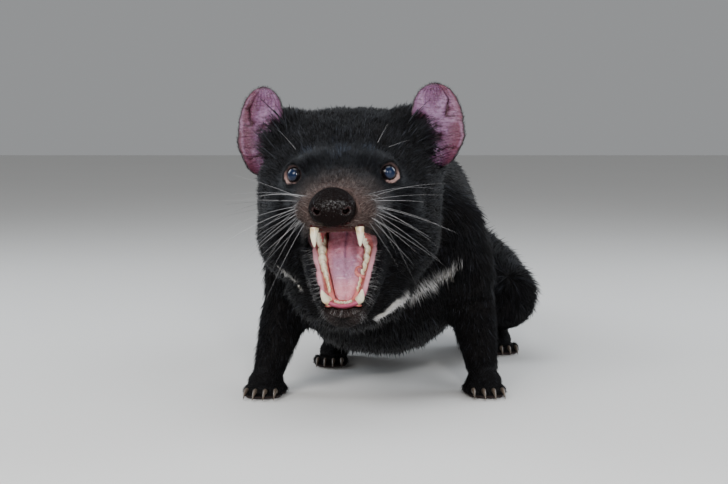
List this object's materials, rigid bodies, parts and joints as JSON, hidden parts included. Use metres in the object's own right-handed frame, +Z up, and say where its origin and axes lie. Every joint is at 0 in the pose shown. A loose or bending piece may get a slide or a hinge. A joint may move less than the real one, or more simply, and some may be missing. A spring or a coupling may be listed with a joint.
{
  "type": "tasmanian devil",
  "caption": "Life-size still model of a black, stocky marsupial braced low on four legs with its mouth gaping wide, white chest stripe, pink ears and thick tapering tail.",
  "frame": {"origin": "on the floor under the middle of the model's bounding box", "axes": "+Z up, +Y from the head towards the tail, +X to the animal's left"},
  "size_m": [0.238, 0.7464, 0.2294],
  "materials": {
    "coat": "short black fur",
    "nose_skin": "wet pebbled skin",
    "eye": "gloss",
    "ear_skin": "bare skin",
    "tooth": "satin",
    "tongue": "wet"
  },
  "bodies": {
    "root": {"head": "coat", "lower_jaw": "coat", "neck": "coat", "chest": "coat", "rump": "coat", "tail": "coat", "upper_arm_left": "coat", "upper_arm_right": "coat", "forearm_left": "coat", "forearm_right": "coat", "forefoot_left": "coat", "forefoot_right": "coat", "thigh_left": "coat", "thigh_right": "coat", "shank_left": "coat", "shank_right": "coat", "hindfoot_left": "coat", "hindfoot_right": "coat", "nose": "nose_skin", "eye_left": "eye", "eye_right": "eye", "ear_left": "ear_skin", "ear_right": "ear_skin", "upper_teeth": "tooth", "lower_teeth": "tooth", "tongue": "tongue"}
  },
  "joints": []
}
